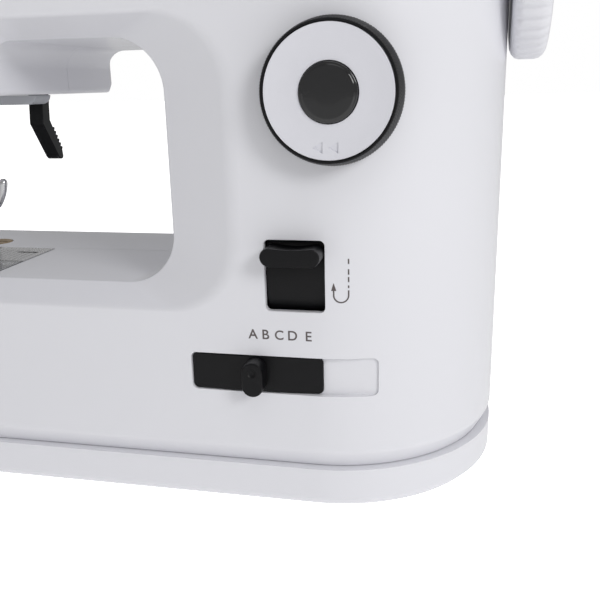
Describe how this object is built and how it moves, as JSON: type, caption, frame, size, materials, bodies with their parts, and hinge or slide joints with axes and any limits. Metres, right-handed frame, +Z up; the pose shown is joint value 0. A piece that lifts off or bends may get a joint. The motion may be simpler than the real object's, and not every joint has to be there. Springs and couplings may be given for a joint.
{
  "type": "sewing machine",
  "caption": "Compact domestic sewing machine: bed, pillar, arm and head in white shells, with stitch dial, reverse lever, pattern slider, handwheel and needle mechanism.",
  "frame": {"origin": "under the middle of the whole machine, on the surface that its feet stand on", "axes": "+Z up, front towards -Y, head and needle towards -X, handwheel towards +X"},
  "size_m": [0.3014, 0.1351, 0.292],
  "materials": {
    "white_housing": "semi-gloss moulded ABS",
    "white_fittings": "satin moulded ABS",
    "black_plastic": "satin moulded ABS",
    "gloss_black": "high gloss",
    "dial_white": "satin moulded ABS",
    "grey_plastic": "satin moulded ABS",
    "foot_rubber": "matt rubber",
    "belt_rubber": "matt rubber",
    "polished_steel": "plated and polished",
    "spring_steel": "drawn wire",
    "cast_metal": "as cast",
    "clear_plastic": "clear moulded plastic",
    "brass_screw": "plated",
    "circuit_green": "solder mask"
  },
  "bodies": {
    "housing": {"front_cover": "white_housing", "rear_cover": "white_housing", "base_tray": "white_housing", "foot_1": "foot_rubber", "foot_2": "foot_rubber", "foot_3": "foot_rubber", "foot_4": "foot_rubber", "head_plate": "grey_plastic", "lamp_lens": "clear_plastic", "needle_plate": "polished_steel", "bed_screw": "brass_screw", "chassis": "cast_metal", "circuit_board": "circuit_green", "power_inlet": "black_plastic", "pedal_jack": "black_plastic", "winder_stop": "white_fittings", "thread_guide": "polished_steel", "presser_spring": "spring_steel", "reverse_spring": "spring_steel", "timing_belt": "belt_rubber", "drive_belt": "belt_rubber", "motor": "cast_metal"},
    "bobbin_cover": {"bobbin_cover": "clear_plastic"},
    "drive": {"main_shaft": "polished_steel", "handwheel": "white_fittings", "handwheel_cap": "grey_plastic", "crank_disc": "cast_metal", "upper_pulley": "black_plastic", "belt_wheel": "black_plastic"},
    "lower_drive": {"lower_pulley": "black_plastic", "lower_shaft": "polished_steel", "shaft_gear": "grey_plastic"},
    "motor_pulley": {"motor_pulley": "polished_steel"},
    "hook": {"hook": "polished_steel"},
    "bobbin": {"bobbin": "clear_plastic"},
    "feed_dog": {"feed_dog": "polished_steel"},
    "needle_bar": {"needle_bar": "polished_steel", "needle_clamp": "polished_steel", "needle": "polished_steel", "connecting_link": "cast_metal"},
    "clamp_screw": {"clamp_screw": "polished_steel"},
    "take_up_lever": {"take_up_lever": "polished_steel"},
    "presser_bar": {"presser_bar": "polished_steel", "foot_holder": "polished_steel"},
    "presser_foot": {"presser_foot": "polished_steel"},
    "presser_lifter": {"presser_lifter": "black_plastic"},
    "dial": {"dial_ring": "black_plastic", "dial_face": "dial_white", "dial_hub": "gloss_black", "dial_shaft": "polished_steel", "cam_stack": "grey_plastic"},
    "reverse_lever": {"reverse_lever": "black_plastic"},
    "group_slider": {"group_slider": "black_plastic", "slider_knob": "black_plastic"},
    "tension_dial": {"tension_dial": "white_fittings"},
    "power_switch": {"power_switch": "black_plastic"},
    "spool_pin": {"spool_pin": "white_fittings"},
    "winder_spindle": {"winder_spindle": "white_fittings"}
  },
  "joints": [
    {"name": "handwheel_turn", "type": "hinge", "parent": "housing", "child": "drive", "pos_m": [0, 0.01285, 0.212], "axis": [1, 0, 0], "continuous": true},
    {"name": "lower_shaft_turn", "type": "hinge", "parent": "housing", "child": "lower_drive", "pos_m": [0, 0.01285, 0.05], "axis": [1, 0, 0], "continuous": true},
    {"name": "motor_turn", "type": "hinge", "parent": "housing", "child": "motor_pulley", "pos_m": [0.095, 0.042, 0.062], "axis": [1, 0, 0], "continuous": true},
    {"name": "hook_turn", "type": "hinge", "parent": "housing", "child": "hook", "pos_m": [-0.1195, -0.022, 0.06], "axis": [0, 0, 1], "continuous": true},
    {"name": "bobbin_spin", "type": "hinge", "parent": "hook", "child": "bobbin", "pos_m": [-0.1195, -0.022, 0.075], "axis": [0, 0, 1], "continuous": true},
    {"name": "feed_dog_travel", "type": "slide", "parent": "housing", "child": "feed_dog", "axis": [0, 1, 0], "range_m": [-0.0012, 0.0012], "stiffness_N_per_m": 60},
    {"name": "needle_bar_stroke", "type": "slide", "parent": "housing", "child": "needle_bar", "axis": [0, 0, 1], "range_m": [-0.016, 0.012]},
    {"name": "clamp_screw_turn", "type": "hinge", "parent": "needle_bar", "child": "clamp_screw", "pos_m": [-0.1, -0.00215, 0.126], "axis": [1, 0, 0], "range_deg": [0, 180]},
    {"name": "take_up_swing", "type": "hinge", "parent": "housing", "child": "take_up_lever", "pos_m": [-0.119, -0.02, 0.2], "axis": [1, 0, 0], "range_deg": [-18, 24.1]},
    {"name": "lifter_raise", "type": "hinge", "parent": "housing", "child": "presser_lifter", "pos_m": [-0.08165, 0.00845, 0.176], "axis": [1, 0, 0], "range_deg": [0, 45]},
    {"name": "presser_bar_lift", "type": "slide", "parent": "housing", "child": "presser_bar", "axis": [0, 0, 1], "range_m": [0, 0.007]},
    {"name": "foot_pivot", "type": "hinge", "parent": "presser_bar", "child": "presser_foot", "pos_m": [-0.1195, 0.0085, 0.099], "axis": [1, 0, 0], "range_deg": [-6, 0]},
    {"name": "stitch_dial_turn", "type": "hinge", "parent": "housing", "child": "dial", "pos_m": [0.07245, -0.06, 0.1681], "axis": [0, -1, 0], "continuous": true},
    {"name": "reverse_press", "type": "hinge", "parent": "housing", "child": "reverse_lever", "pos_m": [0.057, -0.01575, 0.1006], "axis": [1, 0, 0], "range_deg": [0, 20], "stiffness_Nm_per_rad": 0.15, "springref_deg": -17.19},
    {"name": "group_slide", "type": "hinge", "parent": "housing", "child": "group_slider", "pos_m": [0.035, 0.28225, 0.06], "axis": [0, 0, 1], "range_deg": [0, 3.55]},
    {"name": "tension_turn", "type": "hinge", "parent": "housing", "child": "tension_dial", "pos_m": [-0.095, -0.06, 0.215], "axis": [0, -1, 0], "range_deg": [-150, 150]},
    {"name": "power_rock", "type": "hinge", "parent": "housing", "child": "power_switch", "pos_m": [0.06, 0.062, 0.13], "axis": [1, 0, 0], "range_deg": [-5, 0]},
    {"name": "spool_pin_retract", "type": "slide", "parent": "housing", "child": "spool_pin", "axis": [0, 0, -1], "range_m": [0, 0.036]},
    {"name": "winder_shift", "type": "slide", "parent": "housing", "child": "winder_spindle", "axis": [1, 0, 0], "range_m": [0, 0.004]},
    {"name": "bobbin_cover_open", "type": "hinge", "parent": "housing", "child": "bobbin_cover", "pos_m": [-0.11125, -0.043, 0.0933], "axis": [1, 0, 0], "range_deg": [0, 80]}
  ],
  "couplings": [
    {"joint": "lower_shaft_turn", "follows": "handwheel_turn", "ratio": 1},
    {"joint": "motor_turn", "follows": "handwheel_turn", "ratio": 3.6667},
    {"joint": "hook_turn", "follows": "handwheel_turn", "ratio": 2},
    {"joint": "take_up_swing", "follows": "needle_bar_stroke", "rad_per_m": -26},
    {"joint": "lifter_raise", "follows": "presser_bar_lift", "rad_per_m": 112}
  ]
}
